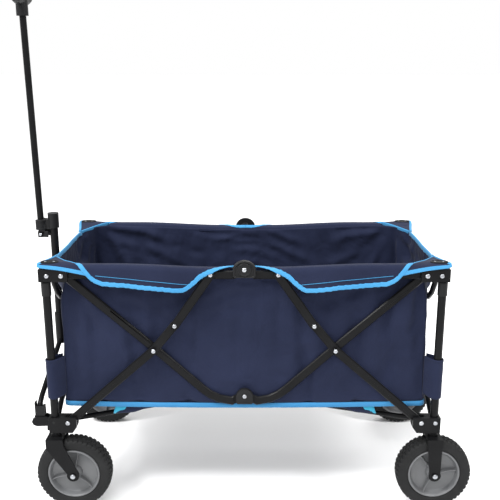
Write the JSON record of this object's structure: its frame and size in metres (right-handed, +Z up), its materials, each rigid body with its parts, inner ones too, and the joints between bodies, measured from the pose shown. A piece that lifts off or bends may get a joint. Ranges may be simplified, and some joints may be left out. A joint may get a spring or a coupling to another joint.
{
  "type": "folding wagon",
  "caption": "Open fabric bin on a folding steel link frame with swivelling front wheels, fixed rear wheels and a folding pull handle.",
  "frame": {"origin": "middle of the footprint, on the floor", "axes": "+Z up, -X towards the pull handle, +Y towards the far side"},
  "size_m": [1.074, 0.4958, 1.256],
  "materials": {
    "steel": "black powder coat, satin",
    "plastic": "black moulded plastic",
    "rubber": "black knobbly rubber",
    "rim": "grey moulded plastic",
    "zinc": "bright zinc plate",
    "fabric": "navy woven polyester with light blue binding"
  },
  "bodies": {
    "front_lower": {"front_lower_frame": "steel", "leg_front_near": "steel", "leg_front_far": "steel", "collar_front_near": "plastic", "collar_front_far": "plastic", "tow_bracket_near": "steel", "tow_bracket_far": "steel"},
    "caster_near": {"fork_front_near": "steel", "axle_front_near": "zinc"},
    "caster_far": {"fork_front_far": "steel", "axle_front_far": "zinc"},
    "wheel_front_near": {"tyre_front_near": "rubber", "rim_front_near": "rim"},
    "wheel_front_far": {"tyre_front_far": "rubber", "rim_front_far": "rim"},
    "wheel_rear_near": {"tyre_rear_near": "rubber", "rim_rear_near": "rim"},
    "wheel_rear_far": {"tyre_rear_far": "rubber", "rim_rear_far": "rim"},
    "rear_lower": {"rear_lower_frame": "steel", "leg_rear_near": "steel", "leg_rear_far": "steel", "collar_rear_near": "plastic", "collar_rear_far": "plastic", "fork_rear_near": "steel", "fork_rear_far": "steel", "axle_rear_near": "zinc", "axle_rear_far": "zinc"},
    "front_top": {"front_top_frame": "steel", "bin": "fabric"},
    "rear_top": {"rear_top_frame": "steel"},
    "rails_front": {"rail_front_near": "steel", "rail_front_far": "steel", "top_hub_cap_near": "plastic", "top_hub_cap_far": "plastic"},
    "rails_rear": {"rail_rear_near": "steel", "rail_rear_far": "steel"},
    "long_links_front": {"link_long_front_near": "steel", "link_long_front_far": "steel", "bottom_hub_cap_near": "plastic", "bottom_hub_cap_far": "plastic"},
    "long_links_rear": {"link_long_rear_near": "steel", "link_long_rear_far": "steel"},
    "bent_links_front": {"link_bent_front_near": "steel", "link_bent_front_far": "steel"},
    "bent_links_rear": {"link_bent_rear_near": "steel", "link_bent_rear_far": "steel"},
    "short_links_front": {"link_short_front_near": "steel", "link_short_front_far": "steel"},
    "short_links_rear": {"link_short_rear_near": "steel", "link_short_rear_far": "steel"},
    "base_front": {"base_bars_front": "steel"},
    "base_rear": {"base_bars_rear": "steel"},
    "handle": {"handle_yoke": "steel", "handle_main_tube": "steel", "handle_clip_cap": "plastic", "yoke_socket_near": "plastic", "yoke_socket_far": "plastic"},
    "handle_top": {"handle_upper_tube": "steel", "handle_grip": "plastic"}
  },
  "joints": [
    {"name": "front_low_pivot", "type": "hinge", "parent": "front_lower", "child": "bent_links_front", "pos_m": [-0.41596, 0, 0.219], "axis": [0, -1, 0], "range_deg": [0, 43.97]},
    {"name": "front_cross_pivot", "type": "hinge", "parent": "bent_links_front", "child": "long_links_front", "pos_m": [-0.21296, 0, 0.3995], "axis": [0, 1, 0], "range_deg": [0, 87.91]},
    {"name": "front_top_pivot", "type": "hinge", "parent": "long_links_front", "child": "front_top", "pos_m": [-0.41596, 0, 0.58], "axis": [0, -1, 0], "range_deg": [0, 43.97]},
    {"name": "frame_fold", "type": "hinge", "parent": "front_top", "child": "rails_front", "pos_m": [-0.41596, 0, 0.58], "axis": [0, 1, 0], "range_deg": [0, 79.5], "deforming": ["bin"]},
    {"name": "hub_fold", "type": "hinge", "parent": "rails_front", "child": "rails_rear", "pos_m": [-0.00396, 0, 0.595], "axis": [0, -1, 0], "range_deg": [0, 159.02]},
    {"name": "rear_rail_pivot", "type": "hinge", "parent": "rails_rear", "child": "rear_top", "pos_m": [0.40804, 0, 0.58], "axis": [0, 1, 0], "range_deg": [0, 79.52]},
    {"name": "rear_top_pivot", "type": "hinge", "parent": "rear_top", "child": "long_links_rear", "pos_m": [0.40804, 0, 0.58], "axis": [0, -1, 0], "range_deg": [0, 43.97]},
    {"name": "rear_cross_pivot", "type": "hinge", "parent": "long_links_rear", "child": "bent_links_rear", "pos_m": [0.20504, 0, 0.3995], "axis": [0, 1, 0], "range_deg": [0, 87.91]},
    {"name": "rear_low_pivot", "type": "hinge", "parent": "bent_links_rear", "child": "rear_lower", "pos_m": [0.40804, 0, 0.219], "axis": [0, -1, 0], "range_deg": [0, 43.97]},
    {"name": "front_short_link_pivot", "type": "hinge", "parent": "rails_front", "child": "short_links_front", "pos_m": [-0.07996, 0, 0.582], "axis": [0, 1, 0], "range_deg": [0, 46.55]},
    {"name": "rear_short_link_pivot", "type": "hinge", "parent": "rails_rear", "child": "short_links_rear", "pos_m": [0.07204, 0, 0.582], "axis": [0, -1, 0], "range_deg": [0, 46.55]},
    {"name": "front_base_pivot", "type": "hinge", "parent": "front_lower", "child": "base_front", "pos_m": [-0.41596, 0, 0.214], "axis": [0, -1, 0], "range_deg": [0, 79.52]},
    {"name": "rear_base_pivot", "type": "hinge", "parent": "rear_lower", "child": "base_rear", "pos_m": [0.40804, 0, 0.214], "axis": [0, 1, 0], "range_deg": [0, 79.52]},
    {"name": "caster_swivel_near", "type": "hinge", "parent": "front_lower", "child": "caster_near", "pos_m": [-0.45196, -0.216, 0.188], "axis": [0, 0, 1], "continuous": true},
    {"name": "wheel_spin_front_near", "type": "hinge", "parent": "caster_near", "child": "wheel_front_near", "pos_m": [-0.41196, -0.216, 0.089], "axis": [0, 1, 0], "continuous": true},
    {"name": "wheel_spin_rear_near", "type": "hinge", "parent": "rear_lower", "child": "wheel_rear_near", "pos_m": [0.44804, -0.216, 0.089], "axis": [0, 1, 0], "continuous": true},
    {"name": "caster_swivel_far", "type": "hinge", "parent": "front_lower", "child": "caster_far", "pos_m": [-0.45196, 0.216, 0.188], "axis": [0, 0, 1], "continuous": true},
    {"name": "wheel_spin_front_far", "type": "hinge", "parent": "caster_far", "child": "wheel_front_far", "pos_m": [-0.41196, 0.216, 0.089], "axis": [0, 1, 0], "continuous": true},
    {"name": "wheel_spin_rear_far", "type": "hinge", "parent": "rear_lower", "child": "wheel_rear_far", "pos_m": [0.44804, 0.216, 0.089], "axis": [0, 1, 0], "continuous": true},
    {"name": "handle_pivot", "type": "hinge", "parent": "front_lower", "child": "handle", "pos_m": [-0.49196, 0, 0.213], "axis": [0, -1, 0], "range_deg": [0, 92]},
    {"name": "handle_fold", "type": "hinge", "parent": "handle", "child": "handle_top", "pos_m": [-0.51396, 0, 0.625], "axis": [0, -1, 0], "range_deg": [0, 165]}
  ],
  "couplings": [
    {"joint": "front_low_pivot", "follows": "frame_fold", "ratio": 0.55278},
    {"joint": "front_cross_pivot", "follows": "frame_fold", "ratio": 1.1056},
    {"joint": "front_top_pivot", "follows": "frame_fold", "ratio": 0.55278},
    {"joint": "hub_fold", "follows": "frame_fold", "ratio": 2},
    {"joint": "rear_rail_pivot", "follows": "frame_fold", "ratio": 1},
    {"joint": "rear_top_pivot", "follows": "frame_fold", "ratio": 0.55278},
    {"joint": "rear_cross_pivot", "follows": "frame_fold", "ratio": 1.1056},
    {"joint": "rear_low_pivot", "follows": "frame_fold", "ratio": 0.55278},
    {"joint": "front_short_link_pivot", "follows": "frame_fold", "ratio": 0.58527},
    {"joint": "rear_short_link_pivot", "follows": "frame_fold", "ratio": 0.58527},
    {"joint": "front_base_pivot", "follows": "frame_fold", "ratio": 1},
    {"joint": "rear_base_pivot", "follows": "frame_fold", "ratio": 1}
  ]
}
